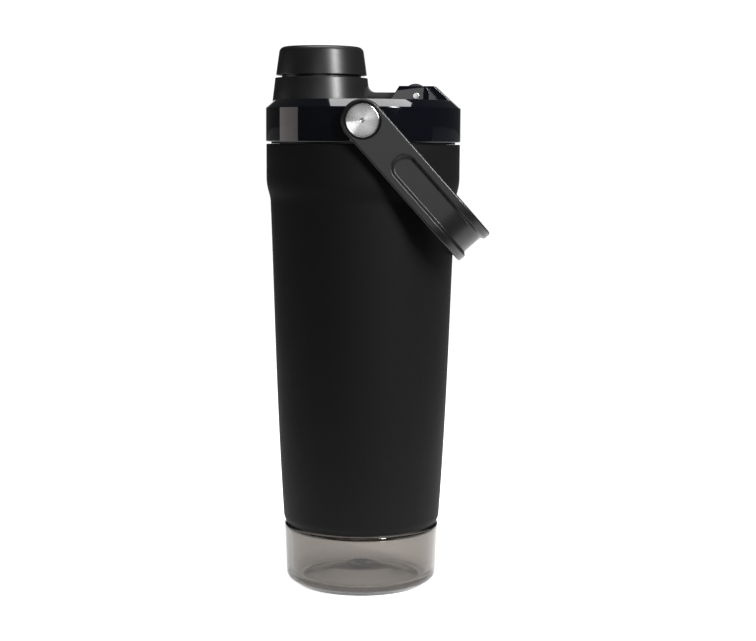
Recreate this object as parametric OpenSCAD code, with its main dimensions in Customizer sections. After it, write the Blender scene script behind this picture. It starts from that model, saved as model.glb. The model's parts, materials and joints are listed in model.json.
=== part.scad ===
// Insulated protein shaker bottle with a screw lid, a tethered drinking cap, a swing handle
// and a screw-off storage cup at its base. Millimetres, +Z up, origin at the centre of the foot.

/* [Bottle] */
// Radius of the steel body at its rim
body_r_rim = 46.85; // [46:0.05:48]
// Radius of the steel body just above its bottom edge
body_r_low = 38.3; // [38:0.1:39]
// Height of the body's rim above the foot
rim_z = 215.3; // [214.6:0.1:215.4]
// Height of the body's bottom edge above the foot
body_z0 = 30.5; // [30.3:0.05:30.6]
// Thickness of each steel wall
steel_t = 0.6; // [0.5:0.05:0.7]
// Width of the vacuum gap between the two walls
vacuum_gap = 4.2; // [3.6:0.1:4.4]
// Bore radius of the threaded neck
neck_r = 42.2; // [42.1:0.05:42.3]

/* [Storage cup] */
// Outer radius of the cup just under its shoulder
cup_r_top = 37.95; // [37.5:0.05:38.2]
// Outer radius of the cup just above its rounded foot
cup_r_low = 37.0; // [36.6:0.1:37.4]
// Wall thickness of the cup
cup_t = 3; // [2.6:0.1:3.2]
// Height of the dome pushed up in the cup's floor
dome_h = 6.2; // [4:0.1:7]

/* [Lid] */
// Outer radius of the lid's cover
lid_r = 47.25; // [47:0.05:47.5]
// Wall thickness of the lid's cover
lid_t = 2.2; // [1.8:0.1:2.2]
// Height of the lid's wall under its chamfer
lid_wall_h = 16.2; // [15.8:0.1:16.4]
// Radius of the spout's bore
spout_bore_r = 12.5; // [11.5:0.1:12.6]
// How far the cap's axis stands from the bottle's axis
cap_off = 20.3; // [20:0.1:20.5]

/* [Cap] */
// Outer radius of the cap at its lower edge
cap_r_low = 21.95; // [21.6:0.05:22.2]
// Outer radius of the cap under its rounded top edge
cap_r_high = 20.1; // [19.9:0.05:20.4]
// Outer radius of the tether ring at the deck
ring_r_low = 24; // [23.5:0.1:24.2]

/* [Handle] */
// Width of the handle's strap
strap_w = 19.6; // [18:0.1:20]
// Distance from the pivot to the outer face of the grip
reach = 79; // [79:0.1:84]
// Thickness of the strap
strap_t = 3.8; // [3.4:0.1:3.8]
// Angle of the resting handle below the horizontal
rest_angle = 48; // [42:0.5:48]

/* [Hidden] */
$fn = 96;

powder_black = "#26262a";
gloss_black = "#15171c";
satin_black = "#3a3a3d";
steel = "#b9bbbd";
smoke = "#8b847d";
silicone = "#1c1c1e";
natural = "#d8d8d4";

weld = 0.02;         // gap left at a welded or glued seam
fit = 0.05;          // radial play of a running fit
play = 0.3;          // play between curved faces that pass each other

// Threads: two starts, shared by the lid and the storage cup
lead = 8;
starts = 2;
thread_turns = 0.75;
thread_depth = 1.4;
thread_base = 2.2;
thread_crest = 1.2;
thread_steps = 27;
thread_bury = 0.4;   // how deep a ridge's root sits in its wall
thread_gap = 0.5;    // from a ridge's crest to the facing root, on the male side
male_root_r = neck_r - thread_depth - 0.4;
female_crest_r = male_root_r + thread_gap;

// Body heights
shoulder_z = 187.5;  // where the shoulder meets the tapered side
taper_z0 = 32.2;
neck_z0 = 197.5;     // bottom of the neck's straight bore
neck_z1 = 191;
liner_floor_z = 46.6;
heel = 8;            // bevel round the liner's floor
disc_z = 42;
wall_total = steel_t + vacuum_gap;

// Storage cup heights
cup_shoulder_z = 29.65;
cup_neck_z = 40.5;
cup_neck_r = 33.4;
cup_foot_r = 4.2;    // rounding between the side and the foot
foot_in_r = 28.5;    // inner edge of the foot's flat ring
cup_floor_t = 3.2;
cup_female_r = cup_neck_r + thread_depth + 0.4;

// Lid heights
lid_z0 = 216.3;
lid_z1 = lid_z0 + lid_wall_h;
deck_z = 236.2;
deck_r = 43.2;
core_z0 = 199;
core_deck_z0 = 227.6;
core_deck_t = 2.4;
core_t = 2;
core_in_r = male_root_r - core_t;
spout_z1 = 252;
spout_r = 15;
collar_r = 17.1;

// Hinge of the cap
hinge_x = 25;
hinge_z = 238.35;
pin_r = 1.65;
barrel_r = 6;
arm_w = 14;
arm_z0 = 236.9;
arm_z1 = 240.1;
cheek_w = 25.2;      // width of the block over both cheeks
block_w = 22.8;      // width of the block behind the cheeks
block_z = 243.1;
cheek_x = 27.6;      // where a cheek's rounded rear corner starts
cheek_round = 3.6;
slot_w = arm_w + 2 * play;

// Cap and tether ring
ring_z0 = 236.6;
ring_z1 = 246.9;
ring_r_high = 22.3;
ring_bore_r = 19.4;
cap_z0 = 248.1;
cap_z1 = 261.8;
cap_round = 3;
core_r = ring_bore_r - play;
core_r_high = 18.2;
cap_core_z0 = 237;
cap_bore_r = 17.6;
cap_plate_z = 257.7;
lug_half = 22;       // half the angle that a bayonet lug spans
seal_z0 = 252.3;
seal_z1 = 254;
clip_z0 = 237.1;
clip_t = 1.1;
clip_r = 20.7;
ring_step_z = clip_z0 + clip_t + play;

// Handle pivots
pivot_z = 226.2;
eye_r = strap_w / 2;
arm_in = lid_r + 0.4;
arm_out = arm_in + strap_t;
bore_r = 4.6;
shoulder_r = 3.5;
sink_r = 8.3;        // recess that holds the screw's head
sink_y = arm_out - 1.9;
head_r = 7.8;
head_y0 = arm_out - 1.35;
head_y1 = arm_out + 0.2;
insert_y0 = 41.2;
insert_r = 5.5;
bend_r = 22;         // outer radius of the handle's two bends
grip_soft = [2.6, 4.2];  // how far the grip's inner corners are cut, out from it and along it
channel_w = 12.6;
channel_d = 1.7;
channel_u = 29;      // from the pivot to the centre of the channel's round end

// Points on an arc, in degrees, anticlockwise when a1 > a0
function arc(cx, cy, r, a0, a1, n = 6) =
    [for (i = [0:n]) let (a = a0 + (a1 - a0) * i / n) [cx + r * cos(a), cy + r * sin(a)]];

// Points on a cubic curve through p0 and p3, drawn towards p1 and p2
function bezier(p0, p1, p2, p3, n = 10) =
    [for (i = [0:n]) let (t = i / n, s = 1 - t)
        s * s * s * p0 + 3 * s * s * t * p1 + 3 * s * t * t * p2 + t * t * t * p3];

// The body's outer side from its bottom edge up to the rim, as [radius, height]
function side_curve() = concat(
    [[body_r_low, taper_z0]],
    [for (p = bezier([body_r_low, taper_z0 + 1], [42.3, 94.2], [43, 144.2],
                     [body_r_rim - 2, shoulder_z], 14)) p],
    bezier([body_r_rim - 1.85, shoulder_z + 1.5], [body_r_rim - 1.4, shoulder_z + 4.5],
           [body_r_rim - 0.1, shoulder_z + 6.5], [body_r_rim - 0.05, shoulder_z + 11.5], 8)
);

// The part of the side between two heights, moved inwards by d
function side_between(z0, z1, d) = [for (p = side_curve()) if (p[1] > z0 && p[1] < z1) [p[0] - d, p[1]]];

// One helical ridge. Its radius runs from r (root) to r + depth; a negative depth points inwards.
module ridge(r, depth, z_ref, a0) {
    root = r - sign(depth) * thread_bury;
    function section(i) =
        let (a = a0 + 360 * thread_turns * i / thread_steps,
             z = z_ref + lead * a / 360,
             ends = min(i, thread_steps - i),
             crest = r + depth * (ends == 0 ? 0.1 : ends == 1 ? 0.7 : 1),
             points = [[root, -thread_base / 2], [crest, -thread_crest / 2],
                       [crest, thread_crest / 2], [root, thread_base / 2]])
        [for (p = depth > 0 ? points : [points[3], points[2], points[1], points[0]])
            [p[0] * cos(a), p[0] * sin(a), z + p[1]]];
    points = [for (i = [0:thread_steps]) each section(i)];
    sides = [for (i = [0:thread_steps - 1], k = [0:3])
        let (p = 4 * i + k, q = 4 * i + (k + 1) % 4)
        each [[p, q, p + 4], [q, q + 4, p + 4]]];
    last = 4 * thread_steps;
    polyhedron(points, concat(sides, [[0, 2, 1], [0, 3, 2]],
        [[last + 1, last + 2, last], [last + 2, last + 3, last]]));
}

module thread(r, depth, z_ref, a0 = 0)
    for (k = [0:starts - 1]) rotate([0, 0, 360 * k / starts]) ridge(r, depth, z_ref, a0);

module tube(r_out, r_in, z0, z1)
    difference() {
        translate([0, 0, z0]) cylinder(r = r_out, h = z1 - z0);
        translate([0, 0, z0 - 1]) cylinder(r = r_in, h = z1 - z0 + 2);
    }

// A sector of a ring, centred on angle a
module lug(r_in, r_out, z0, z1, a, half)
    translate([0, 0, z0]) rotate([0, 0, a - half])
        rotate_extrude(angle = 2 * half) translate([r_in, 0]) square([r_out - r_in, z1 - z0]);

// Cylinder along Y between two distances, on the near side (s = -1) or the far side (s = 1)
module y_rod(r, y0, y1, s = 1)
    translate([0, s > 0 ? y0 : -y1, 0]) rotate([-90, 0, 0]) cylinder(r = r, h = y1 - y0);

module at_pivots() for (s = [-1, 1]) translate([0, 0, pivot_z]) children_at(s) children();
module children_at(s) rotate([0, 0, s > 0 ? 0 : 180]) children();
module at_cap() translate([-cap_off, 0, 0]) children();
module at_hinge() translate([hinge_x, 0, hinge_z]) children();

// ---- Bottle ----

module outer_shell() {
    edge_in = body_r_low - steel_t;
    outside = concat([[body_r_low - 0.9, body_z0], [body_r_low - 0.3, body_z0 + 0.35]],
        side_curve(), [[body_r_rim, rim_z - 0.5], [body_r_rim - 0.5, rim_z]]);
    inside = concat([[edge_in, body_z0 + 0.8]], side_between(taper_z0, rim_z, steel_t),
        [[body_r_rim - steel_t, rim_z - steel_t]]);
    lip = [[neck_r + steel_t + weld, rim_z], [neck_r + steel_t + weld, rim_z - steel_t]];
    color(powder_black) rotate_extrude()
        polygon(concat(outside, lip, [for (i = [len(inside) - 1:-1:0]) inside[i]]));
}

module inner_liner() {
    foot = body_r_low + 0.9 - wall_total;
    side = side_between(liner_floor_z + heel, neck_z1 - 1, wall_total);
    function wall(d) = concat(
        [[0, liner_floor_z - d], [foot - heel, liner_floor_z - d],
         [foot - heel / 3 + 0.7 * d, liner_floor_z + heel / 3 - 0.7 * d]],
        [for (p = side) [p[0] + d, p[1]]],
        [[neck_r + d, neck_z0 - (d > 0 ? 0.3 : 0)], [neck_r + d, rim_z]]);
    inner = wall(0);
    outer = wall(steel_t);
    color(steel) union() {
        rotate_extrude() polygon(concat(outer, [for (i = [len(inner) - 1:-1:0]) inner[i]]));
        thread(neck_r, female_crest_r - neck_r, 204, 90);
    }
}

module shell_base_disc()
    color(steel) difference() {
        translate([0, 0, disc_z]) cylinder(r = body_r_low - steel_t + 0.35, h = steel_t);
        translate([0, 0, disc_z - 1]) cylinder(r = 2.4, h = 3);
    }

module getter_pellet()
    color(satin_black) translate([14, 0, disc_z + steel_t + weld]) cylinder(r = 4, h = 1.6);

module vacuum_seal_plug()
    color(satin_black) union() {
        translate([0, 0, disc_z - 0.5]) cylinder(r = 2.35, h = 1.4);
        translate([0, 0, disc_z - 0.9]) cylinder(r = 3.4, h = 0.85);
    }

module base_thread_ring()
    color(satin_black) union() {
        tube(body_r_low - 1, cup_female_r, body_z0 + 0.3, disc_z - 0.2);
        thread(cup_female_r, -(thread_depth - 0.1), 34.3, -90);
    }

// ---- Storage cup ----

module storage_cup() {
    side_z = cup_shoulder_z - 1.5;
    foot_c = cup_r_low - cup_foot_r;
    in_r = cup_r_low - cup_t;
    dome = [for (i = [0:8]) let (t = i / 8) [foot_in_r * (1 - t) - 1 * t * (1 - t),
        dome_h * (1 - pow(1 - t, 2) * (1 + 0.6 * t)) ]];
    outside = concat([[foot_c, 0]], arc(foot_c, cup_foot_r, cup_foot_r, -75, 0, 5),
        [[cup_r_top, side_z - 1]], arc(cup_r_top - 1.5, side_z, 1.5, 0, 90, 4),
        [[cup_neck_r, cup_shoulder_z], [cup_neck_r, cup_neck_z - 0.6],
         [cup_neck_r - 0.6, cup_neck_z]]);
    bore = cup_neck_r - 2.6;
    inside = concat([[bore, cup_neck_z], [bore, cup_shoulder_z - 1.5],
         [cup_r_top - cup_t, cup_shoulder_z - 5]],
        arc(in_r - 3.4, cup_floor_t + 3.6, 3.4, 0, -80, 4),
        [for (i = [1:len(dome) - 1]) [dome[i][0], dome[i][1] + cup_floor_t]]);
    color(smoke, 0.55) union() {
        rotate_extrude() polygon(concat(outside, inside, [[0, dome_h]],
            [for (i = [len(dome) - 2:-1:0]) dome[i]]));
        translate([0, 0, dome_h + cup_floor_t - 0.3]) cylinder(r1 = 3.4, r2 = 2.2, h = 1.5);
        thread(cup_neck_r, thread_depth, 32.3, 0);
    }
}

module cup_gasket()
    color(silicone) tube(body_r_low - 2, cup_neck_r + 0.3, cup_shoulder_z + 0.05, body_z0 + 0.25);

// ---- Lid ----

module lid_gasket()
    color(silicone) tube(44.5, male_root_r + 1.55, rim_z + 0.1, lid_z0 - weld);

// Side outlines of the hinge block, one over its whole length and one for the two cheeks
block_foot_z = deck_z - 1;
function block_outline() = [[12.2, block_foot_z], [17.1, block_z], [lid_r, block_z],
    [lid_r, block_foot_z]];
function cheek_outline() = concat([[12.2, block_foot_z], [17.1, block_z]],
    arc(cheek_x, block_z - cheek_round, cheek_round, 90, 0, 5),
    [[cheek_x + cheek_round, block_foot_z]]);

module along_y(width, outline)
    translate([0, width / 2, 0]) rotate([90, 0, 0]) linear_extrude(height = width)
        polygon(outline);

// The space inside the lid's wall and chamfer, carried up past the deck to the block's top
module chamfer_cone() {
    slope = (lid_r - deck_r) / (deck_z - lid_z1);
    rotate_extrude() polygon([[0, lid_z0], [lid_r - 0.5, lid_z0], [lid_r, lid_z0 + 0.5],
        [lid_r, lid_z1], [lid_r - slope * (block_z - lid_z1), block_z], [0, block_z]]);
}

// Room for the barrel and for the arm as it swings back
module hinge_slot()
    translate([0, slot_w / 2, 0]) rotate([90, 0, 0]) linear_extrude(height = slot_w) union() {
        translate([hinge_x, hinge_z]) circle(r = barrel_r + play);
        translate([hinge_x - 15, deck_z]) square([15, 12]);
        translate([hinge_x, hinge_z]) square([barrel_r + play, 12]);
    }

// Hollow of the cover, which leaves the floor under the barrel and the two pivot bosses
module cover_hollow()
    difference() {
        rotate_extrude() polygon([[0, lid_z0 - 1], [lid_r - lid_t, lid_z0 - 1],
            [lid_r - lid_t, lid_z1 - 0.9], [deck_r - 1, deck_z - lid_t], [0, deck_z - lid_t]]);
        translate([hinge_x - 8, -block_w / 2, deck_z - 5.6]) cube([16, block_w, 5]);
        at_pivots() y_rod(8, insert_y0 - 0.1, lid_r + 1);
    }

module lid_shell()
    color(gloss_black) difference() {
        intersection() {
            chamfer_cone();
            union() {
                translate([0, 0, lid_z0 - 1]) cylinder(r = lid_r + 5, h = deck_z - lid_z0 + 1);
                along_y(block_w, block_outline());
                along_y(cheek_w, cheek_outline());
            }
        }
        cover_hollow();
        hinge_slot();
        at_hinge() translate([0, -20, 0]) y_rod(pin_r + weld, 0, 40);
        at_cap() translate([0, 0, deck_z - 8]) cylinder(r = collar_r, h = 12);
        at_pivots() y_rod(insert_r, insert_y0 - 1, lid_r + 1);
    }

module lid_core() {
    deck_top = core_deck_z0 + core_deck_t;
    color(natural) difference() {
        union() {
            translate([0, 0, core_z0]) cylinder(r = male_root_r, h = deck_top - core_z0);
            translate([0, 0, lid_z0]) cylinder(r = lid_r - lid_t - 0.1, h = 1.8);
            at_cap() translate([0, 0, deck_top - 1])
                cylinder(r1 = spout_r + 0.4, r2 = spout_r - 0.5, h = spout_z1 - deck_top + 1);
            for (a = [0, 180]) at_cap() {
                lug(spout_r - 1, spout_r + 1.5, 242, 244, a, lug_half);
                lug(spout_r - 1, spout_r + 1.5, 239.2, 243, a - lug_half - 2.5, 2);
            }
            thread(male_root_r, thread_depth, 202, 0);
        }
        translate([0, 0, core_z0 - 1]) cylinder(r = core_in_r, h = core_deck_z0 - core_z0 + 1);
        at_cap() translate([0, 0, core_deck_z0 - 1])
            cylinder(r = spout_bore_r, h = spout_z1 - core_deck_z0 + 2);
    }
}

module spout_collar()
    color(gloss_black) at_cap()
        tube(collar_r - weld, spout_r + 0.5, deck_z - lid_t - 2, deck_z + 0.2);

module mixing_grid() {
    rim_r = core_in_r - 0.15;
    pitch = 10.2;
    row_h = pitch * sin(60);
    color(satin_black) translate([0, 0, core_z0 + 0.4]) linear_extrude(height = 2) difference() {
        circle(r = rim_r);
        for (j = [-3:3], i = [-4:4]) {
            x = pitch * (i + (abs(j) % 2) / 2);
            y = row_h * j;
            if (norm([x, y]) < rim_r - 6.2) translate([x, y]) circle(r = 4.1);
        }
    }
}

module hinge_pin()
    color(steel) at_hinge() translate([0, -cheek_w / 2 - 0.1, 0])
        y_rod(pin_r, 0, cheek_w + 0.2);

module pivot_inserts()
    color(steel) at_pivots() difference() {
        y_rod(insert_r - weld, insert_y0, lid_r + 0.1);
        y_rod(2.7, insert_y0 - 1, lid_r + 1);
    }

module pivot_screws()
    color(steel) at_pivots() difference() {
        union() {
            y_rod(2.65, insert_y0 + 0.6, lid_r + 0.5);
            y_rod(shoulder_r, lid_r + 0.15, head_y0 + 0.2);
            rotate([-90, 0, 0]) rotate_extrude() polygon([[0, head_y0], [head_r - 0.2, head_y0],
                [head_r, head_y0 + 0.2], [head_r, head_y1 - 0.7], [head_r - 0.7, head_y1],
                [0, head_y1]]);
        }
        translate([0, head_y1, 0]) sphere(r = 0.9);
    }

module pivot_washers()
    color(steel) at_pivots() difference() {
        y_rod(7.2, sink_y + 0.05, head_y0 - 0.02);
        y_rod(shoulder_r + fit, sink_y - 1, head_y0 + 1);
    }

// ---- Handle ----

// The bail's outline seen square to its strap: u away from the pivots, y across the bottle
module bail_outline(cut = 0) {
    half = arm_out - cut;
    far = reach - cut;
    r = bend_r - cut;
    union() {
        translate([-20, -half]) square([far - r + 20, 2 * half]);
        translate([0, -half + r]) square([far, 2 * (half - r)]);
        for (s = [-1, 1]) translate([far - r, s * (half - r)]) circle(r = r);
    }
}

module in_handle_frame() translate([0, 0, pivot_z]) rotate([0, rest_angle, 0]) children();

// What is cut from one inner edge of the strap, as (out from the inner face, across the strap)
module soft_edge(s)
    translate([0, s * strap_w / 2]) polygon([[-1, s], [grip_soft[0], s], [grip_soft[0], 0],
        [0, -s * grip_soft[1]], [-1, -s * grip_soft[1]]]);

// Both inner edges, along the arms, round the bends and across the grip
module soft_inside() {
    centre = [reach - bend_r, arm_out - bend_r];
    inner_r = bend_r - strap_t;
    for (s = [-1, 1]) {
        translate([centre[0] + inner_r, 0, 0]) rotate([90, 0, 0])
            linear_extrude(height = 2 * centre[1], center = true) soft_edge(s);
        for (m = [0, 1]) mirror([0, m, 0]) {
            translate(centre) rotate_extrude(angle = 90) translate([inner_r, 0]) soft_edge(s);
            translate([-20, arm_in, 0]) rotate([90, 0, 90])
                linear_extrude(height = centre[0] + 20) soft_edge(s);
        }
    }
}

module handle_bail()
    color(satin_black) in_handle_frame() difference() {
        intersection() {
            translate([0, 0, -strap_w / 2]) linear_extrude(height = strap_w) difference() {
                bail_outline();
                bail_outline(strap_t);
            }
            union() {
                translate([0, -60, 0]) y_rod(eye_r, 0, 120);
                translate([0, -60, -strap_w / 2]) cube([reach + 1, 120, strap_w]);
            }
        }
        // channel along the outside of both arms and the grip
        intersection() {
            translate([0, 0, -channel_w / 2]) linear_extrude(height = channel_w) difference() {
                translate([-30, -80]) square([130, 160]);
                bail_outline(channel_d);
            }
            union() {
                translate([channel_u, -60, 0]) y_rod(channel_w / 2, 0, 120);
                translate([channel_u, -60, -channel_w / 2]) cube([80, 120, channel_w]);
            }
        }
        soft_inside();
        at_eyes() y_rod(bore_r, arm_in - 2, arm_out + 2);
        at_eyes() y_rod(sink_r, sink_y, arm_out + 2);
    }

module at_eyes() for (s = [-1, 1]) children_at(s) children();

module handle_bushes()
    color(natural) at_pivots() difference() {
        y_rod(bore_r - weld, arm_in - 0.1, sink_y - 0.02);
        y_rod(shoulder_r + fit, arm_in - 2, sink_y + 2);
    }

// ---- Cap ----

module tether_arm()
    color(satin_black) difference() {
        union() {
            at_cap() rotate_extrude() polygon([[ring_bore_r - 1, ring_z0],
                [ring_r_low - 0.4, ring_z0], [ring_r_low, ring_z0 + 0.4],
                [ring_r_high, ring_z1 - 0.3], [ring_r_high - 0.3, ring_z1],
                [ring_bore_r - 1, ring_z1]]);
            translate([-cap_off + ring_bore_r + 1, -arm_w / 2, arm_z0])
                cube([hinge_x + cap_off - ring_bore_r - 1, arm_w, arm_z1 - arm_z0]);
            // fillet between the ring and the top of the arm
            translate([-cap_off + ring_r_high, arm_w / 2, arm_z1]) rotate([90, 0, 0])
                linear_extrude(height = arm_w) difference() {
                    translate([-1, -0.5]) square([5.4, 3.5]);
                    translate([4.4, 3]) circle(r = 3);
                }
            at_hinge() translate([0, -arm_w / 2, 0]) y_rod(barrel_r, 0, arm_w);
        }
        at_cap() translate([0, 0, ring_z0 - 1]) cylinder(r = ring_bore_r, h = 20);
        at_cap() translate([0, 0, ring_z0 - 1])
            cylinder(r = clip_r + play, h = ring_step_z - ring_z0 + 1);
        at_hinge() translate([0, -20, 0]) y_rod(pin_r + fit, 0, 40);
    }

module cap_shell()
    color(satin_black) at_cap() rotate_extrude() polygon(concat(
        [[core_r + weld, cap_z0], [cap_r_low - 0.3, cap_z0], [cap_r_low, cap_z0 + 0.3]],
        arc(cap_r_high - cap_round + 0.05, cap_z1 - cap_round, cap_round, 8, 90, 6),
        [[0, cap_z1], [0, cap_plate_z + 2 + weld], [core_r_high + weld, cap_plate_z + 2 + weld],
         [core_r_high + weld, seal_z1 + weld], [core_r + weld, seal_z1 + weld]]));

module cap_core()
    color(satin_black) at_cap() difference() {
        union() {
            rotate_extrude() polygon([[0, cap_plate_z], [12.2, cap_plate_z],
                [12.2, seal_z1 + 0.05], [cap_bore_r, seal_z1 + 0.05], [cap_bore_r, cap_core_z0],
                [core_r, cap_core_z0], [core_r, seal_z1], [core_r_high, seal_z1],
                [core_r_high, cap_plate_z + 2], [0, cap_plate_z + 2]]);
            for (a = [90, 270]) lug(spout_r + 0.7, cap_bore_r + 0.5, 239.6, 241.6, a, lug_half);
        }
        tube(core_r + 1, core_r - 0.8, clip_z0 - weld, clip_z0 + clip_t + weld);
    }

module cap_seal()
    color(silicone) at_cap() tube(cap_bore_r - 0.5, 12.2, seal_z0, seal_z1);

module cap_clip_ring()
    color(steel) at_cap() tube(clip_r, core_r - 0.75, clip_z0, clip_z0 + clip_t);

outer_shell();
inner_liner();
shell_base_disc();
getter_pellet();
vacuum_seal_plug();
base_thread_ring();
storage_cup();
cup_gasket();
lid_gasket();
lid_shell();
lid_core();
mixing_grid();
spout_collar();
hinge_pin();
pivot_inserts();
pivot_screws();
pivot_washers();
handle_bail();
handle_bushes();
tether_arm();
cap_shell();
cap_core();
cap_seal();
cap_clip_ring();
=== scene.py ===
"""Looks of the insulated shaker bottle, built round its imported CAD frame. Metres, +Z up."""

import json
import math

import bpy
import bmesh
from mathutils import Matrix, Vector


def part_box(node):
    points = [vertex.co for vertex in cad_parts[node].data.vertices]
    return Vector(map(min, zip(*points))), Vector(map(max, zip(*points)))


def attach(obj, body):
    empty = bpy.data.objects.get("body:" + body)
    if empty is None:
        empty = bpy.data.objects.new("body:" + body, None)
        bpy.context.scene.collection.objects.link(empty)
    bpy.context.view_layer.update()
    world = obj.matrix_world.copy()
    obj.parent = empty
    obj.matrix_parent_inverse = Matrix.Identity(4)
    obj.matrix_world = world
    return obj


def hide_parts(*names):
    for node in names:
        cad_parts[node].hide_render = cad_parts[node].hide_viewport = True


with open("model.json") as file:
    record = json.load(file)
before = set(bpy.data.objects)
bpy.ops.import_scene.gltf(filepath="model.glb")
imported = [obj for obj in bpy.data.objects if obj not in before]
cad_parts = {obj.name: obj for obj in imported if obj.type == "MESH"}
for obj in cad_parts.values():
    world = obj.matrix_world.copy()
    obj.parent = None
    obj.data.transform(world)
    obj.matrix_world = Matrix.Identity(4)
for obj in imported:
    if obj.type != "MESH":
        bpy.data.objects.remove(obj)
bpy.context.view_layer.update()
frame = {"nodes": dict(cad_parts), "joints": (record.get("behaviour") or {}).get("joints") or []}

MM = 0.001
SCENE = bpy.context.scene
SHARP = math.radians(32)
AROUND = 224            # segments round a large turned piece


# ---------------------------------------------------------------- places read from the frame

def joint(name):
    return next(j for j in frame["joints"] if j["name"] == name)


shell_lo, shell_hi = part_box("outer_shell")
cup_lo, cup_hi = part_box("storage_cup")
lid_lo, lid_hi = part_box("lid_shell")
cap_lo, cap_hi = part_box("cap_shell")
arm_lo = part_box("tether_arm")[0]
bail_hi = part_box("handle_bail")[1]
head_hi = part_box("pivot_screws")[1]
pin_lo, pin_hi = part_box("hinge_pin")

PIVOT = Vector(joint("handle_swing")["pos_m"])
HINGE = Vector(joint("cap_flip")["pos_m"])
CAP_AXIS = Vector(joint("cap_twist")["pos_m"])
LEAD = joint("lid_rise")["range_m"][1] / (joint("lid_twist")["range_deg"][1] / 360)


def cad_outline(node, axis_x=0.0, bins=0.00025):
    """The outer radius of a turned CAD node at each height where it widens, from the bottom up."""
    rings = {}
    for v in frame["nodes"][node].data.vertices:
        key = round(v.co.z / bins)
        r = math.hypot(v.co.x - axis_x, v.co.y)
        if key not in rings or r > rings[key][0]:
            rings[key] = (r, v.co.z)
    out = []
    for key in sorted(rings):
        if not out or rings[key][0] >= out[-1][0]:
            out.append(rings[key])
    return out


# ---------------------------------------------------------------- mesh helpers

def link(name, bm_or_mesh, smooth=SHARP):
    if isinstance(bm_or_mesh, bmesh.types.BMesh):
        mesh = bpy.data.meshes.new(name)
        bmesh.ops.recalc_face_normals(bm_or_mesh, faces=bm_or_mesh.faces)
        bm_or_mesh.to_mesh(mesh)
        bm_or_mesh.free()
    else:
        mesh = bm_or_mesh
    for poly in mesh.polygons:
        poly.use_smooth = True
    mesh.set_sharp_from_angle(angle=smooth)
    obj = bpy.data.objects.new(name, mesh)
    SCENE.collection.objects.link(obj)
    return obj


def filleted(corners, steps=5):
    """A closed outline from (r, z, fillet) corners in metres, each fillet drawn as an arc."""
    out = []
    count = len(corners)
    for i, (r, z, fillet) in enumerate(corners):
        here = Vector((r, z))
        before = Vector(corners[i - 1][:2]) - here
        after = Vector(corners[(i + 1) % count][:2]) - here
        if fillet <= 0 or before.length < 1e-9 or after.length < 1e-9:
            out.append((r, z))
            continue
        half = before.angle(after) / 2
        if half > math.radians(88):
            out.append((r, z))
            continue
        cut = min(fillet / math.tan(half), before.length * 0.49, after.length * 0.49)
        radius = cut * math.tan(half)
        start, end = here + before.normalized() * cut, here + after.normalized() * cut
        middle = (before.normalized() + after.normalized()).normalized()
        centre = here + middle * (radius / math.sin(half))
        a0 = math.atan2(start.y - centre.y, start.x - centre.x)
        a1 = math.atan2(end.y - centre.y, end.x - centre.x)
        turn = (a1 - a0 + math.pi) % (2 * math.pi) - math.pi
        for k in range(steps + 1):
            a = a0 + turn * k / steps
            out.append((centre.x + radius * math.cos(a), centre.y + radius * math.sin(a)))
    return out


def turn(bm, outline, centre=(0, 0, 0), steps=AROUND, axis="Z"):
    """Revolves a closed (r, h) outline about an axis through centre, and merges what lies on the axis."""
    rings = []
    for r, h in outline:
        if r < 1e-7:
            rings.append([place(0, 0, h, centre, axis, bm)])
        else:
            rings.append([place(r * math.cos(2 * math.pi * k / steps),
                                r * math.sin(2 * math.pi * k / steps), h, centre, axis, bm)
                          for k in range(steps)])
    for i, ring in enumerate(rings):
        other = rings[(i + 1) % len(rings)]
        if len(ring) == 1 and len(other) == 1:
            continue
        for k in range(steps):
            n = (k + 1) % steps
            quad = [ring[k % len(ring)], ring[n % len(ring)],
                    other[n % len(other)], other[k % len(other)]]
            bm.faces.new(list(dict.fromkeys(quad)))


def place(a, b, h, centre, axis, bm):
    x, y, z = (a, b, h) if axis == "Z" else (a, h, b)
    return bm.verts.new((centre[0] + x, centre[1] + y, centre[2] + z))


def turned(name, outline, centre=(0, 0, 0), steps=AROUND, axis="Z", smooth=SHARP):
    bm = bmesh.new()
    turn(bm, outline, centre, steps, axis)
    return link(name, bm, smooth)


def smooth_curve(points, per_span=5):
    """A Catmull-Rom curve through (r, z) points."""
    pts = [Vector(p) for p in points]
    out = []
    for i in range(len(pts) - 1):
        a, b, c, d = pts[max(i - 1, 0)], pts[i], pts[i + 1], pts[min(i + 2, len(pts) - 1)]
        for k in range(per_span):
            t = k / per_span
            p = 0.5 * (2 * b + (c - a) * t + (2 * a - 5 * b + 4 * c - d) * t * t
                       + (3 * b - a - 3 * c + d) * t ** 3)
            out.append((p.x, p.y))
    out.append(tuple(pts[-1]))
    return out


def thread_ridge(bm, root, depth, z_ref, a0, turns=0.75, starts=2, steps=120):
    """Rounded helical ridges, two starts. A negative depth points inwards."""
    section = [(-0.4, -1.15), (0.0, -1.05), (0.55, -0.78), (0.9, -0.62), (1.0, -0.4),
               (1.0, 0.4), (0.9, 0.62), (0.55, 0.78), (0.0, 1.05), (-0.4, 1.15)]
    for start in range(starts):
        rings = []
        for i in range(steps + 1):
            a = a0 + 360 * turns * i / steps
            fade = min(1, 0.05 + 14 * min(i, steps - i) / steps)
            z = z_ref + LEAD * a / 360
            angle = math.radians(a + 360 * start / starts)
            ring = []
            for out, up in section:
                r = root + depth * (out * fade if out > 0 else out)
                ring.append(bm.verts.new((r * math.cos(angle), r * math.sin(angle), z + up * MM)))
            rings.append(ring)
        for one, two in zip(rings, rings[1:]):
            for k in range(len(section)):
                n = (k + 1) % len(section)
                bm.faces.new((one[k], one[n], two[n], two[k]))
        bm.faces.new(rings[0])
        bm.faces.new(list(reversed(rings[-1])))


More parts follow.
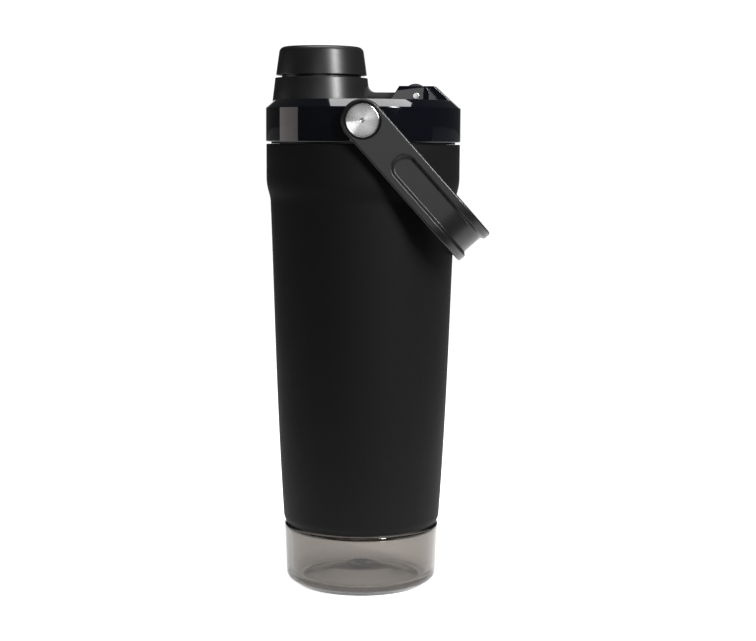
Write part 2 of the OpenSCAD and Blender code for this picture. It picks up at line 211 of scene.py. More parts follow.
def extruded(name, outline, y0, y1, bevel, segments=3, snap=None):
    """A prism of an (x, z) outline between two Y planes with rounded edges; snap moves each point first."""
    bm = bmesh.new()
    slices = 12
    rings = []
    for s in range(slices + 1):
        y = y0 + (y1 - y0) * s / slices
        ring = []
        for x, z in outline:
            px = snap(x, y, z) if snap else x
            ring.append(bm.verts.new((px, y, z)))
        rings.append(ring)
    count = len(outline)
    for one, two in zip(rings, rings[1:]):
        for k in range(count):
            n = (k + 1) % count
            bm.faces.new((one[k], one[n], two[n], two[k]))
    bm.faces.new(rings[0])
    bm.faces.new(list(reversed(rings[-1])))
    bmesh.ops.recalc_face_normals(bm, faces=bm.faces)
    edges = [e for e in bm.edges if len(e.link_faces) == 2
             and e.calc_face_angle(0) > math.radians(25)]
    if bevel:
        bmesh.ops.bevel(bm, geom=edges, offset=bevel, offset_type="OFFSET", segments=segments,
                        profile=0.5, affect="EDGES", clamp_overlap=True)
    return link(name, bm)


def cut(obj, cutters):
    """Cuts closed shapes out of a piece and leaves a plain mesh."""
    for c in cutters:
        mod = obj.modifiers.new("cut", "BOOLEAN")
        mod.operation = "DIFFERENCE"
        mod.solver = "EXACT"
        mod.object = c
    dg = bpy.context.evaluated_depsgraph_get()
    mesh = bpy.data.meshes.new_from_object(obj.evaluated_get(dg))
    obj.modifiers.clear()
    old = obj.data
    obj.data = mesh
    bpy.data.meshes.remove(old)
    for c in cutters:
        data = c.data
        bpy.data.objects.remove(c)
        bpy.data.meshes.remove(data)
    for poly in mesh.polygons:
        poly.use_smooth = True
    mesh.set_sharp_from_angle(angle=SHARP)
    return obj


# ---------------------------------------------------------------- materials

def material(name):
    mat = bpy.data.materials.new(name)
    mat.use_nodes = True
    nodes = mat.node_tree.nodes
    return mat, nodes, mat.node_tree.links, nodes["Principled BSDF"]


def coords(nodes, links, stretch=(1, 1, 1)):
    where = nodes.new("ShaderNodeTexCoord")
    mapping = nodes.new("ShaderNodeMapping")
    mapping.inputs["Scale"].default_value = stretch
    links.new(where.outputs["Object"], mapping.inputs["Vector"])
    return mapping.outputs["Vector"]


def noise(nodes, links, vector, scale, detail=4.0, rough=0.55):
    tex = nodes.new("ShaderNodeTexNoise")
    tex.inputs["Scale"].default_value = scale
    tex.inputs["Detail"].default_value = detail
    tex.inputs["Roughness"].default_value = rough
    links.new(vector, tex.inputs["Vector"])
    return tex.outputs["Fac"]


def spread(nodes, links, value, low, high, start=0.3, stop=0.7):
    span = nodes.new("ShaderNodeMapRange")
    span.inputs["From Min"].default_value = start
    span.inputs["From Max"].default_value = stop
    span.inputs["To Min"].default_value = low
    span.inputs["To Max"].default_value = high
    links.new(value, span.inputs["Value"])
    return span.outputs["Result"]


def tint(nodes, links, value, dark, light):
    ramp = nodes.new("ShaderNodeValToRGB")
    ramp.color_ramp.elements[0].position = 0.35
    ramp.color_ramp.elements[1].position = 0.65
    ramp.color_ramp.elements[0].color = (*dark, 1)
    ramp.color_ramp.elements[1].color = (*light, 1)
    links.new(value, ramp.inputs["Fac"])
    return ramp.outputs["Color"]


def bump(nodes, links, height, distance, strength=1.0, under=None):
    node = nodes.new("ShaderNodeBump")
    node.inputs["Strength"].default_value = strength
    node.inputs["Distance"].default_value = distance
    links.new(height, node.inputs["Height"])
    if under:
        links.new(under, node.inputs["Normal"])
    return node.outputs["Normal"]


def powder_coat():
    """Baked powder paint: a fine pebble over a slow orange peel, a little duller where it is touched."""
    mat, nodes, links, shader = material("powder_coat")
    at = coords(nodes, links)
    grain = noise(nodes, links, at, 2600, 2)
    peel = noise(nodes, links, at, 420, 3)
    patch = noise(nodes, links, at, 22, 4)
    links.new(tint(nodes, links, grain, (0.0048, 0.0047, 0.0052), (0.0076, 0.0075, 0.0082)),
              shader.inputs["Base Color"])
    links.new(spread(nodes, links, patch, 0.56, 0.64), shader.inputs["Roughness"])
    under = bump(nodes, links, peel, 0.00005, 0.5)
    links.new(bump(nodes, links, grain, 0.00006, 0.55, under), shader.inputs["Normal"])
    shader.inputs["Specular IOR Level"].default_value = 0.08
    return mat


def satin_plastic(name, dark, light, rough, grain_scale=3200):
    """Spark-eroded moulding texture in black polypropylene."""
    mat, nodes, links, shader = material(name)
    at = coords(nodes, links)
    grain = noise(nodes, links, at, grain_scale, 2)
    patch = noise(nodes, links, at, 35, 3)
    links.new(tint(nodes, links, patch, dark, light), shader.inputs["Base Color"])
    links.new(spread(nodes, links, patch, rough - 0.03, rough + 0.04), shader.inputs["Roughness"])
    links.new(bump(nodes, links, grain, 0.000025, 0.5), shader.inputs["Normal"])
    shader.inputs["Specular IOR Level"].default_value = 0.5
    return mat


def gloss_plastic():
    """Polished black acrylic cover, with the faint flow waves and hairline wear of a handled lid."""
    mat, nodes, links, shader = material("gloss_black")
    at = coords(nodes, links)
    flow = noise(nodes, links, at, 38, 2)
    dust = noise(nodes, links, at, 900, 5, 0.7)
    hair = noise(nodes, links, coords(nodes, links, (1, 1, 26)), 240, 3)
    links.new(tint(nodes, links, flow, (0.0014, 0.0019, 0.0038), (0.0022, 0.0028, 0.0050)),
              shader.inputs["Base Color"])
    links.new(spread(nodes, links, dust, 0.045, 0.11, 0.45, 0.8), shader.inputs["Roughness"])
    under = bump(nodes, links, flow, 0.00006, 0.25)
    links.new(bump(nodes, links, hair, 0.000004, 0.2, under), shader.inputs["Normal"])
    shader.inputs["Coat Weight"].default_value = 0.35
    shader.inputs["Coat Roughness"].default_value = 0.03
    return mat


def brushed(name, stretch, scale=260, rough=0.26, colour=(0.56, 0.56, 0.55)):
    """Stainless steel with fine brushing along one direction."""
    mat, nodes, links, shader = material(name)
    lines = noise(nodes, links, coords(nodes, links, stretch), scale, 5, 0.65)
    cloud = noise(nodes, links, coords(nodes, links), 30, 3)
    dark = tuple(0.86 * c for c in colour)
    links.new(tint(nodes, links, lines, dark, colour), shader.inputs["Base Color"])
    links.new(spread(nodes, links, cloud, rough - 0.05, rough + 0.06), shader.inputs["Roughness"])
    links.new(bump(nodes, links, lines, 0.00002, 0.5), shader.inputs["Normal"])
    shader.inputs["Metallic"].default_value = 1.0
    return mat


def spun_steel():
    """Lathe-faced stainless: concentric tool rings about the pivots' axis, so light fans out in a bow tie."""
    mat, nodes, links, shader = material("spun_steel")
    where = nodes.new("ShaderNodeTexCoord")
    shift = nodes.new("ShaderNodeVectorMath")
    shift.operation = "SUBTRACT"
    shift.inputs[1].default_value = PIVOT
    flat = nodes.new("ShaderNodeVectorMath")
    flat.operation = "MULTIPLY"
    flat.inputs[1].default_value = (1, 0, 1)
    length = nodes.new("ShaderNodeVectorMath")
    length.operation = "LENGTH"
    links.new(where.outputs["Object"], shift.inputs[0])
    links.new(shift.outputs["Vector"], flat.inputs[0])
    links.new(flat.outputs["Vector"], length.inputs[0])
    rings = nodes.new("ShaderNodeTexNoise")
    rings.noise_dimensions = "1D"
    rings.inputs["Scale"].default_value = 5200
    rings.inputs["Detail"].default_value = 3
    links.new(length.outputs["Value"], rings.inputs["W"])
    links.new(tint(nodes, links, rings.outputs["Fac"], (0.40, 0.40, 0.40), (0.55, 0.55, 0.545)),
              shader.inputs["Base Color"])
    links.new(spread(nodes, links, rings.outputs["Fac"], 0.20, 0.30), shader.inputs["Roughness"])
    links.new(bump(nodes, links, rings.outputs["Fac"], 0.000001, 0.1), shader.inputs["Normal"])
    tangent = nodes.new("ShaderNodeTangent")
    tangent.direction_type = "RADIAL"
    tangent.axis = "Y"
    links.new(tangent.outputs["Tangent"], shader.inputs["Tangent"])
    shader.inputs["Anisotropic"].default_value = 0.9
    shader.inputs["Anisotropic Rotation"].default_value = 0.25
    shader.inputs["Metallic"].default_value = 1.0
    return mat


def smoky_plastic():
    """Clear copolyester tinted smoke grey, with the slight waviness of a thick moulding."""
    mat, nodes, links, shader = material("smoke_clear")
    at = coords(nodes, links)
    wave = noise(nodes, links, at, 28, 2)
    haze = noise(nodes, links, at, 700, 4)
    links.new(tint(nodes, links, wave, (0.80, 0.785, 0.765), (0.83, 0.815, 0.795)),
              shader.inputs["Base Color"])
    smoke = nodes.new("ShaderNodeVolumeAbsorption")
    smoke.inputs["Color"].default_value = (0.10, 0.05, 0.0, 1)
    smoke.inputs["Density"].default_value = 260
    links.new(smoke.outputs["Volume"], nodes["Material Output"].inputs["Volume"])
    links.new(spread(nodes, links, haze, 0.015, 0.05), shader.inputs["Roughness"])
    links.new(bump(nodes, links, wave, 0.00012, 0.25), shader.inputs["Normal"])
    shader.inputs["Transmission Weight"].default_value = 1.0
    shader.inputs["IOR"].default_value = 1.49
    return mat


def silicone():
    mat, nodes, links, shader = material("silicone_black")
    at = coords(nodes, links)
    bloom = noise(nodes, links, at, 160, 5)
    links.new(tint(nodes, links, bloom, (0.008, 0.008, 0.0088), (0.013, 0.013, 0.014)),
              shader.inputs["Base Color"])
    links.new(spread(nodes, links, bloom, 0.42, 0.6), shader.inputs["Roughness"])
    links.new(bump(nodes, links, noise(nodes, links, at, 2400, 2), 0.00002, 0.4),
              shader.inputs["Normal"])
    return mat


POWDER = powder_coat()
SATIN = satin_plastic("satin_black", (0.0080, 0.0080, 0.0084), (0.0105, 0.0105, 0.011), 0.36)
HANDLE_SATIN = satin_plastic("handle_black", (0.0055, 0.0055, 0.0060), (0.0075, 0.0075, 0.0080),
                             0.33, 3600)
INNER = satin_plastic("inner_grey", (0.030, 0.030, 0.032), (0.042, 0.042, 0.044), 0.45, 2600)
GLOSS = gloss_plastic()
STEEL = brushed("brushed_steel", (1, 1, 40))
LINER_STEEL = brushed("polished_liner", (1, 1, 26), 180, 0.18)
SPUN = spun_steel()
SMOKE = smoky_plastic()
SILICONE = silicone()


def dress(obj, mat):
    obj.data.materials.clear()
    obj.data.materials.append(mat)
    return obj


def settle(obj, mat, body, slot, *nodes):
    dress(obj, mat)
    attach(obj, body)
    if nodes:
        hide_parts(*nodes)
    return obj


# ---------------------------------------------------------------- bottle

def make_body_skin():
    """The powder-coated wall, a smooth curve through the CAD wall's own heights."""
    wall = 0.6 * MM
    side = [p for p in cad_outline("outer_shell") if shell_lo.z + 5 * MM < p[1] < shell_hi.z - 1.2 * MM]
    curve = smooth_curve(side, 4)
    top, bottom = shell_hi.z, shell_lo.z
    rim, low = shell_hi.x, side[0][0] - 0.19 * MM
    outside = [(low - 1.5 * MM, bottom + 0.02 * MM), (low - 1.2 * MM, bottom),
               (low - 1.0 * MM, bottom + 0.25 * MM)]
    outside += smooth_curve([(low - 0.95 * MM, bottom + 0.5 * MM), (low - 0.42 * MM, bottom + 1.7 * MM),
                             (low - 0.1 * MM, bottom + 2.9 * MM), (low, bottom + 4.0 * MM)], 4)
    lip = filleted([curve[-1] + (0,), (rim, top, 0.4 * MM), (rim - 4.02 * MM, top, 0.2 * MM),
                    (rim - 4.02 * MM, top - wall, 0)], 6)[1:-1]
    inside = [(r - wall, z) for r, z in reversed(curve)]
    outline = outside + curve + lip + [(rim - 4.02 * MM, top - wall), (rim - wall, top - wall)] + inside
    outline += [(low - wall, bottom + 4 * MM), (low - wall - 1.0 * MM, bottom + 0.8 * MM)]
    return settle(turned("body_skin", outline), POWDER, "bottle", "powder_coat", "outer_shell")


def make_liner():
    """The bare steel liner and its rolled thread."""
    bm = bmesh.new()
    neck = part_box("inner_liner")[1].x - 0.6 * MM
    wall = 0.6 * MM
    lo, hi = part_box("inner_liner")
    skin = [p for p in cad_outline("inner_liner") if p[1] > lo.z + 6 * MM and p[1] < hi.z - 22 * MM]
    side = smooth_curve([(r - wall, z) for r, z in skin], 3)
    floor_r = side[0][0] - 1.2 * MM
    corners = [(0, lo.z + wall, 0), (floor_r, lo.z + wall, 6 * MM), (side[0][0], side[0][1], 0)]
    inner = [(0, lo.z + wall)] + filleted(corners, 8)[1:-1] + side
    inner += filleted([side[-1] + (0,), (neck, hi.z - 16.9 * MM, 2 * MM), (neck, hi.z, 0.2 * MM),
                       (neck + wall, hi.z, 0)], 6)[1:-1]
    outer = [(r + wall, z - (wall if z < lo.z + 2 * MM else 0)) for r, z in reversed(inner) if r > 1e-6]
    turn(bm, inner + outer + [(0, lo.z)])
    thread_ridge(bm, neck, -1.25 * MM, 204 * MM, 90)
    return settle(link("steel_liner", bm), LINER_STEEL, "bottle", "bare_steel", "inner_liner")


def make_cup():
    """The smoky storage cup: thick wall, domed floor with its moulding nub, and a threaded neck."""
    bm = bmesh.new()
    lo, hi = cup_lo, cup_hi
    r_top = hi.x
    r_low = r_top - 0.9 * MM
    wall = 3 * MM
    neck = 33.4 * MM
    shoulder = hi.z - 10.85 * MM
    outside = filleted([(26.5 * MM, lo.z + 0.5 * MM, 0), (28.5 * MM, lo.z, 1.0 * MM),
                        (r_low - 4.6 * MM, lo.z, 1.2 * MM), (r_low - 0.1 * MM, lo.z + 3.4 * MM, 5 * MM),
                        (r_low + 0.05 * MM, lo.z + 7 * MM, 0)], 10)[1:-1]
    outside += filleted([(r_low + 0.05 * MM, lo.z + 7 * MM, 0), (r_top, shoulder - 2 * MM, 0),
                         (r_top, shoulder, 1.6 * MM), (neck, shoulder, 0.25 * MM),
                         (neck, hi.z, 0.7 * MM), (neck - 2.6 * MM, hi.z, 0.9 * MM),
                         (neck - 2.6 * MM, shoulder - 1.9 * MM, 0.5 * MM),
                         (r_top - wall, shoulder - 1.9 * MM, 0.7 * MM),
                         (r_low - wall, lo.z + 2.6 * MM, 5 * MM), (22 * MM, lo.z + 4.1 * MM, 0)], 8)[1:-1]
    top = [(r, z) for r, z in smooth_curve([(24 * MM, 3.7 * MM), (17 * MM, 5.9 * MM), (10 * MM, 7.7 * MM),
                                            (7.2 * MM, 8.2 * MM), (6.6 * MM, 8.9 * MM), (5.4 * MM, 9.0 * MM),
                                            (4.6 * MM, 8.5 * MM), (2.6 * MM, 8.8 * MM),
                                            (1.8 * MM, 10.2 * MM), (0, 10.4 * MM)], 5)]
    under = smooth_curve([(0, 6.2 * MM), (3 * MM, 6.1 * MM), (4.2 * MM, 5.6 * MM), (7 * MM, 5.6 * MM),
                          (12 * MM, 4.7 * MM), (18 * MM, 3.1 * MM), (23.5 * MM, 1.5 * MM)], 5)
    turn(bm, outside + top + under)
    thread_ridge(bm, neck, 1.4 * MM, 32.3 * MM, 0)
    return settle(link("clear_storage_cup", bm), SMOKE, "storage_cup_body", "smoke_clear", "storage_cup")


# ---------------------------------------------------------------- lid

def chamfer_radius(z):
    """Radius of the lid's chamfer, carried on up the back of the hinge block."""
    wall_top, deck, deck_r = lid_lo.z + 16.2 * MM, lid_lo.z + 19.9 * MM, 43.2 * MM
    slope = (lid_hi.y - deck_r) / (deck - wall_top)
    return lid_hi.y - slope * (z - wall_top)


def make_lid_cover():
    r, deck_z, wall = lid_hi.y, lid_lo.z + 19.9 * MM, 2.2 * MM
    outline = filleted([
        (0, deck_z, 0), (43.2 * MM, deck_z, 0.5 * MM), (r, lid_lo.z + 16.2 * MM, 0.6 * MM),
        (r, lid_lo.z, 0.5 * MM), (r - wall, lid_lo.z, 0.3 * MM), (r - wall, lid_lo.z + 15.3 * MM, 1 * MM),
        (42.2 * MM, deck_z - wall, 1 * MM), (0, deck_z - wall, 0)], 6)
    cover = turned("lid_cover", outline)
    spout_hole = turned("cutter_spout", [(0, deck_z - 5 * MM), (17.1 * MM, deck_z - 5 * MM),
                                         (17.1 * MM, deck_z + 5 * MM), (0, deck_z + 5 * MM)],
                        (CAP_AXIS.x, 0, 0), 128)
    pocket = turned("cutter_pocket", [(0, -7.3 * MM), (6.3 * MM, -7.3 * MM), (6.3 * MM, 7.3 * MM),
                                      (0, 7.3 * MM)], HINGE, 64, "Y")
    bosses = [turned("cutter_boss", [(0, 43 * MM), (5.5 * MM, 43 * MM), (5.5 * MM, 49 * MM), (0, 49 * MM)],
                     (0, 0, PIVOT.z), 48, "Y"),
              turned("cutter_boss", [(0, -43 * MM), (5.5 * MM, -43 * MM), (5.5 * MM, -49 * MM),
                                     (0, -49 * MM)], (0, 0, PIVOT.z), 48, "Y")]
    cut(cover, [spout_hole, pocket] + bosses)
    settle(cover, GLOSS, "lid", "gloss_black", "lid_shell")
    return cover


def make_hinge_block():
    """The block that carries the chamfer on upwards, slotted for the arm, and two proud cheeks on the pin."""
    deck_z, top = lid_lo.z + 19.9 * MM, lid_hi.z
    foot = deck_z - 0.6 * MM
    front, brow = 12.4 * MM, 17.1 * MM
    cheek_end, corner, inset = 31.2 * MM, 3.6 * MM, 0.15 * MM
    heights = [foot + (top - foot) * k / 8 for k in range(9)]
    outline = [(front, foot), (brow, top), (cheek_end, top)]
    outline += [(chamfer_radius(z), z) for z in reversed(heights)]

    def onto_cone(x, y, z):
        if x <= cheek_end:
            return x
        r = min(chamfer_radius(max(z, lid_lo.z + 16.2 * MM)), lid_hi.y) - inset
        return math.sqrt(r * r - y * y)

    block = extruded("hinge_block", outline, -11.4 * MM, 11.4 * MM, 0.35 * MM, snap=onto_cone)
    slot = extruded("cutter_slot", [(9 * MM, deck_z), (31.3 * MM, deck_z), (31.3 * MM, top + MM),
                                    (9 * MM, top + MM)], -7.3 * MM, 7.3 * MM, 0)
    bore = [turned("cutter_pin", [(0, -14 * MM), (1.75 * MM, -14 * MM), (1.75 * MM, 14 * MM), (0, 14 * MM)],
                   HINGE, 48, "Y") for _ in range(3)]
    settle(cut(block, [slot, bore[0]]), GLOSS, "lid", "gloss_black")
    round_end = [(cheek_end - corner + corner * math.sin(math.radians(a)),
                  top - 0.1 * MM - corner + corner * math.cos(math.radians(a))) for a in range(0, 91, 9)]
    cheek = [(front, foot), (brow, top - 0.1 * MM)] + round_end + [(cheek_end, foot)]
    for side, hole in (("near", bore[1]), ("far", bore[2])):
        y0, y1 = (-12.6 * MM, -11.0 * MM) if side == "near" else (11.0 * MM, 12.6 * MM)
        piece = extruded("hinge_cheek_" + side, cheek, y0, y1, 0.4 * MM)
        settle(cut(piece, [hole]), GLOSS, "lid", "gloss_black")


def make_hinge_pin():
    half = (pin_hi.y - pin_lo.y) / 2
    r = pin_hi.z - HINGE.z
    outline = filleted([(0, -half, 0), (r, -half, 0.3 * MM), (r, half, 0.3 * MM), (0, half, 0)], 4)
    settle(turned("hinge_pin_steel", outline, HINGE, 64, "Y"), STEEL, "lid", "bare_steel", "hinge_pin")


def make_screws():
    """Both pivot screws in one piece: a low head with a polished bevel, a spun face and a centre dimple."""
    bm = bmesh.new()
    face = head_hi.y
    for side in (-1, 1):
        outline = [(0, face - 0.75 * MM), (0.35 * MM, face - 0.68 * MM), (0.7 * MM, face - 0.3 * MM),
                   (1.0 * MM, face - 0.2 * MM), (1.4 * MM, face - 0.2 * MM), (6.9 * MM, face - 0.1 * MM)]
        outline += [(7.15 * MM, face - 0.02 * MM), (7.3 * MM, face), (7.45 * MM, face - 0.05 * MM),
                    (7.7 * MM, face - 0.25 * MM), (7.8 * MM, face - 0.5 * MM), (7.8 * MM, face - 1.45 * MM),
                    (7.6 * MM, face - 1.55 * MM), (3.5 * MM, face - 1.55 * MM), (3.5 * MM, face - 4.3 * MM),
                    (2.65 * MM, face - 4.4 * MM), (2.65 * MM, face - 9.6 * MM), (0, face - 9.6 * MM)]
        turn(bm, [(r, side * h) for r, h in outline], (0, 0, PIVOT.z), 128, "Y")
    settle(link("pivot_screw_heads", bm, math.radians(24)), SPUN, "lid", "bare_steel", "pivot_screws")


# ---------------------------------------------------------------- cap and tether

def make_cap():
    r_low = cap_hi.y
    z0, z1 = cap_lo.z, cap_hi.z
    r_high = r_low - 1.85 * MM
    outline = filleted([
        (0, z1, 0), (12 * MM, z1 - 0.02 * MM, 0), (r_high - 0.05 * MM, z1 - 0.12 * MM, 2.9 * MM),
        (r_low, z0, 0.35 * MM), (19.12 * MM, z0, 0.2 * MM), (19.12 * MM, z1 - 7.9 * MM, 0),
        (18.25 * MM, z1 - 7.8 * MM, 0), (18.25 * MM, z1 - 2.1 * MM, 0), (0, z1 - 2.1 * MM, 0)], 9)
    settle(turned("cap_cover", outline, (CAP_AXIS.x, 0, 0)), SATIN, "cap", "satin_black", "cap_shell")


def make_tether():
    """Ring, arm and barrel, one moulding: the arm flares into the ring and wraps the hinge pin."""
    z0, z1 = arm_lo.z, lid_lo.z + 30.6 * MM
    bore = 19.4 * MM
    r_low = CAP_AXIS.x - arm_lo.x
    ring = filleted([
        (bore, z1, 0.25 * MM), (22.3 * MM, z1, 0.3 * MM), (r_low, z0 + 0.5 * MM, 0.3 * MM),
        (r_low - 0.4 * MM, z0, 0.2 * MM), (21.0 * MM, z0, 0.2 * MM), (21.0 * MM, z0 + 1.9 * MM, 0),
        (bore, z0 + 1.9 * MM, 0.2 * MM)], 5)
    settle(turned("tether_ring", ring, (CAP_AXIS.x, 0, 0)), SATIN, "cap_carrier", "satin_black", "tether_arm")
    # arm: a flat link with a fillet rising into the ring and a round end about the pin
    top, under = 240.1 * MM, 236.9 * MM
    start = CAP_AXIS.x + 21.3 * MM
    flare = [(start + 4.9 * MM - 3.4 * MM * math.sin(math.radians(a)),
              top + 3.4 * MM - 3.4 * MM * math.cos(math.radians(a))) for a in range(0, 76, 15)]
    barrel_r = 6.0 * MM
    meet = math.degrees(math.asin((top - HINGE.z) / barrel_r))
    low = math.degrees(math.asin((under - HINGE.z) / barrel_r))
    steps = 30
    barrel = [(HINGE.x + barrel_r * math.cos(math.radians(180 - meet - (180 - meet + 180 + low) * k / steps)),
               HINGE.z + barrel_r * math.sin(math.radians(180 - meet - (180 - meet + 180 + low) * k / steps)))
              for k in range(steps + 1)]
    outline = [(start, under)] + [(start, flare[-1][1])] + list(reversed(flare)) + barrel
    arm = extruded("tether_link", outline, -7 * MM, 7 * MM, 0.5 * MM)
    bore_cut = turned("cutter_bore", [(0, -9 * MM), (1.7 * MM, -9 * MM), (1.7 * MM, 9 * MM), (0, 9 * MM)],
                      HINGE, 48, "Y")
    settle(cut(arm, [bore_cut]), SATIN, "cap_carrier", "satin_black")


# ---------------------------------------------------------------- handle

def make_handle():
    """The bail as one swept skin. s runs along the strap, v across it; the channel and edges are true shape."""
    half = bail_hi.y
    far, bend = 79 * MM, 22 * MM
    thick, eye = 3.8 * MM, 9.8 * MM
    tilt = math.radians(48)
    edge, soft_from, soft_drop = 1.0 * MM, 5.4 * MM, 2.5 * MM
    channel_half, channel_u, channel_depth, channel_wall = 6.4 * MM, 29 * MM, 1.7 * MM, 1.8 * MM

    def path():
        """(u, y, normal u, normal y, u along the arm or None) stations from the near eye to the far eye."""
        out = []
        straight = far - bend
        us = [-eye * math.cos(math.radians(90 * k / 14)) for k in range(15)]
        us += [u * MM for u in (1.5, 3, 4.5, 6, 7.5, 9, 10.5, 12, 14, 16, 18, 20, 21)]
        us += [(21.4 + 0.2 * k) * MM for k in range(42)]
        us += [(30 + 1.5 * k) * MM for k in range(18)]
        for u in us:
            out.append((u, -half, 0, 1, u))
        for k in range(25):
            a = math.radians(-90 + 90 * k / 24)
            out.append((straight + bend * math.cos(a), -half + bend + bend * math.sin(a),
                        -math.cos(a), -math.sin(a), straight))
        for k in range(1, 20):
            out.append((far, (-half + bend) * (1 - k / 10), -1, 0, straight))
        for k in range(25):
            a = math.radians(90 * k / 24)
            out.append((straight + bend * math.cos(a), half - bend + bend * math.sin(a),
                        -math.cos(a), -math.sin(a), straight))
        for u in reversed(us):
            out.append((u, half, 0, -1, u))
        return out

    side = [0, 0.02, 0.07, 0.15, 0.26, 0.4, 0.56, 0.75, 1.0, 1.3, 1.8, 2.4, 3.0, 3.3]
    side += [3.4 + 0.1 * k for k in range(20)] + [5.5, 6.1, 7.0, 8.2, 9.8]
    across = [(-eye + d * MM) / eye for d in side] + [(eye - d * MM) / eye for d in reversed(side[:-1])]

    def rounding(distance):
        if distance >= edge:
            return 0.0
        return edge - math.sqrt(max(edge * edge - (edge - distance) ** 2, 0))

    def ease(x):
        x = min(max(x, 0.0), 1.0)
        return x * x * (3 - 2 * x)

    def groove(u, v):
        inside = channel_half - (abs(v) if u >= channel_u else math.hypot(u - channel_u, v))
        return channel_depth * ease(inside / channel_wall)

    def softened(v):
        past = max(abs(v) - soft_from, 0) / (eye - soft_from)
        return soft_drop * past ** 1.5

    bm = bmesh.new()
    rings = []
    for u, y, nu, ny, along in path():
        wide = eye if along >= 0 else math.sqrt(max(eye * eye - along * along, 1e-12))
        wide = max(wide, 0.35 * MM)
        outer, inner = [], []
        for t in across:
            v = t * wide
            rim = eye - (abs(v) if along >= 0 else math.hypot(along, v))
            drop = rounding(max(rim, 0))
            depth = drop + groove(along, v)
            outer.append((u + nu * depth, y + ny * depth, v))
            back = thick - max(drop, softened(v))
            inner.append((u + nu * back, y + ny * back, v))
        rings.append([bm.verts.new(p) for p in outer + list(reversed(inner))])
    count = len(rings[0])
    for one, two in zip(rings, rings[1:]):
        for k in range(count):
            n = (k + 1) % count
            bm.faces.new((one[k], one[n], two[n], two[k]))
    bm.faces.new(rings[0])
    bm.faces.new(list(reversed(rings[-1])))
    bmesh.ops.remove_doubles(bm, verts=bm.verts, dist=0.004 * MM)
    to_row = Matrix.Translation(PIVOT) @ Matrix.Rotation(tilt, 4, "Y")
    bm.transform(to_row)
    bail = link("handle_strap", bm, math.radians(40))
    cutters = []
    for s in (-1, 1):
        sink = filleted([(0, s * 53 * MM, 0), (8.9 * MM, s * 53 * MM, 0), (8.9 * MM, s * half, 0),
                         (8.35 * MM, s * (half - 0.45 * MM), 0.2 * MM), (8.3 * MM, s * (half - 1.9 * MM), 0.25 * MM),
                         (4.6 * MM, s * (half - 1.9 * MM), 0), (4.6 * MM, s * 46 * MM, 0), (0, s * 46 * MM, 0)], 3)
        cutters.append(turned("cutter_eye", sink, (0, 0, PIVOT.z), 96, "Y"))
    cut(bail, cutters)
    settle(bail, HANDLE_SATIN, "handle", "satin_black", "handle_bail")


# ---------------------------------------------------------------- carried-over CAD nodes

def soften(node, width=0.25):
    """A small rounded edge on a CAD node, as a modifier that leaves its mesh alone."""
    obj = frame["nodes"][node]
    for poly in obj.data.polygons:
        poly.use_smooth = True
    obj.data.set_sharp_from_angle(angle=SHARP)
    if width:
        mod = obj.modifiers.new("rounded edges", "BEVEL")
        mod.width = width * MM
        mod.segments = 2
        mod.limit_method = "ANGLE"
        mod.angle_limit = math.radians(50)
        mod.harden_normals = False


CARRIED = {
    "shell_base_disc": (STEEL, 0), "getter_pellet": (SATIN, 0.2), "vacuum_seal_plug": (SATIN, 0.15),
    "base_thread_ring": (INNER, 0), "cup_gasket": (SILICONE, 0.2), "lid_gasket": (SILICONE, 0.3),
    "lid_core": (INNER, 0), "mixing_grid": (INNER, 0.25), "spout_collar": (GLOSS, 0.15),
    "pivot_inserts": (STEEL, 0), "pivot_washers": (STEEL, 0), "handle_bushes": (INNER, 0),
    "cap_core": (SATIN, 0), "cap_seal": (SILICONE, 0.25), "cap_clip_ring": (STEEL, 0.1),
}


# ---------------------------------------------------------------- stage, light, camera

def softbox(name, place, aim, size, power, colour=(1, 1, 1)):
    data = bpy.data.lights.new(name, "AREA")
    data.shape = "RECTANGLE"
    data.size, data.size_y = size
    data.energy = power
    data.color = colour
    obj = bpy.data.objects.new(name, data)
    obj.location = place
    obj.rotation_mode = "QUATERNION"
    obj.rotation_quaternion = (Vector(aim) - Vector(place)).to_track_quat("-Z", "Y")
    SCENE.collection.objects.link(obj)
    return obj


def make_stage():
    """A pale table top whose own surface glows as painted light, in a wedge that widens away from the camera, like a
    light table.
    """
    wide, back, front, apex = 12.0, 12.0, -0.13, -0.8
    bm = bmesh.new()
    corners = [bm.verts.new(p) for p in ((-wide, front, 0), (wide, front, 0),
                                         (wide, back, 0), (-wide, back, 0))]
    bm.faces.new(corners)
    floor = link("floor", bm)
    mat, nodes, links, shader = material("pale_floor_painted_glow")
    paper = noise(nodes, links, coords(nodes, links), 220, 4)
    links.new(tint(nodes, links, paper, (0.88, 0.88, 0.88), (0.91, 0.91, 0.91)), shader.inputs["Base Color"])
    shader.inputs["Roughness"].default_value = 0.9
    shader.inputs["Specular IOR Level"].default_value = 0.1
    where = nodes.new("ShaderNodeTexCoord")
    split = nodes.new("ShaderNodeSeparateXYZ")
    links.new(where.outputs["Object"], split.inputs["Vector"])
    aside = math_node(nodes, links, "ABSOLUTE", split.outputs["X"])
    away = math_node(nodes, links, "SUBTRACT", split.outputs["Y"], apex)
    slope = math_node(nodes, links, "DIVIDE", aside, away)
    # painted glow: the floor itself emits light inside a wedge opening away from the camera, fading to almost none
    # outside it
    glow = spread(nodes, links, slope, 1.0, 0.05, 0.235, 0.33)
    links.new(glow, shader.inputs["Emission Strength"])
    shader.inputs["Emission Color"].default_value = (1, 1, 1, 1)
    dress(floor, mat)


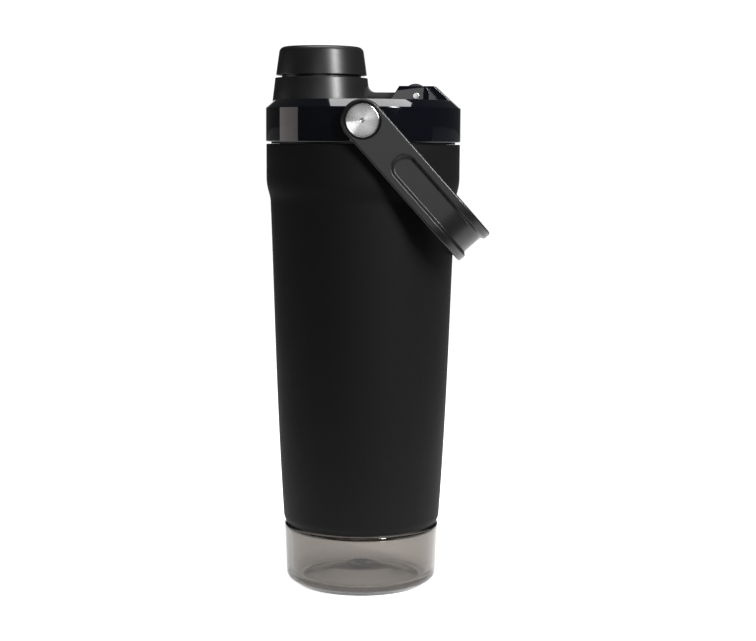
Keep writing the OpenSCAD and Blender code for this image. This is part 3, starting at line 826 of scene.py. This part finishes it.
def math_node(nodes, links, operation, a, b=None):
    node = nodes.new("ShaderNodeMath")
    node.operation = operation
    links.new(a, node.inputs[0])
    if b is not None:
        node.inputs[1].default_value = b if isinstance(b, float) else 0
        if not isinstance(b, float):
            links.new(b, node.inputs[1])
    return node.outputs["Value"]


def make_world():
    """A white screen straight behind the bottle, in an otherwise dim studio."""
    world = bpy.data.worlds.new("studio")
    SCENE.world = world
    world.use_nodes = True
    nodes, links = world.node_tree.nodes, world.node_tree.links
    sky = nodes["Background"]
    where = nodes.new("ShaderNodeTexCoord")
    split = nodes.new("ShaderNodeSeparateXYZ")
    links.new(where.outputs["Generated"], split.inputs["Vector"])
    links.new(spread(nodes, links, split.outputs["Y"], 0.045, 1.1, 0.945, 0.968), sky.inputs["Strength"])
    sky.inputs["Color"].default_value = (1, 1, 1, 1)


def make_lights():
    softbox("key_strip", (0.63, -0.82, 0.75), (0, 0, 0.75), (0.15, 0.8), 22)
    softbox("front_fill", (-0.06, -1.25, 0.27), (0, 0, 0.2), (0.52, 0.6), 1.5)
    softbox("overhead", (0.075, 0.12, 1.25), (0.075, 0.12, 0), (0.85, 0.5), 7)
    softbox("warm_left", (-0.98, 0.1, 0.14), (0, 0, 0.12), (0.56, 0.42), 0.75, (1.0, 0.93, 0.90))


def make_camera():
    """Long lens at the height of the gap between lid and body, looking a little down."""
    data = bpy.data.cameras.new("camera")
    data.sensor_width = 36
    data.lens = 78.6
    data.clip_end = 100
    cam = bpy.data.objects.new("camera", data)
    distance, aside, pitch, roll = 0.8047, 0.0077, 6.2, 0.36
    cam.location = (aside, -distance, lid_lo.z + 0.5 * MM)
    cam.rotation_mode = "QUATERNION"
    look = Matrix.Rotation(math.radians(90 - pitch), 3, "X")
    cam.rotation_quaternion = (look @ Matrix.Rotation(math.radians(roll), 3, "Z")).to_quaternion()
    SCENE.collection.objects.link(cam)
    SCENE.camera = cam


make_body_skin()
make_liner()
make_cup()
make_lid_cover()
make_hinge_block()
make_hinge_pin()
make_screws()
make_cap()
make_tether()
make_handle()
for node_name, (mat, width) in CARRIED.items():
    soften(node_name, width)
    dress(frame["nodes"][node_name], mat)
make_stage()
make_world()
make_lights()
make_camera()
SCENE.view_settings.view_transform = "Standard"
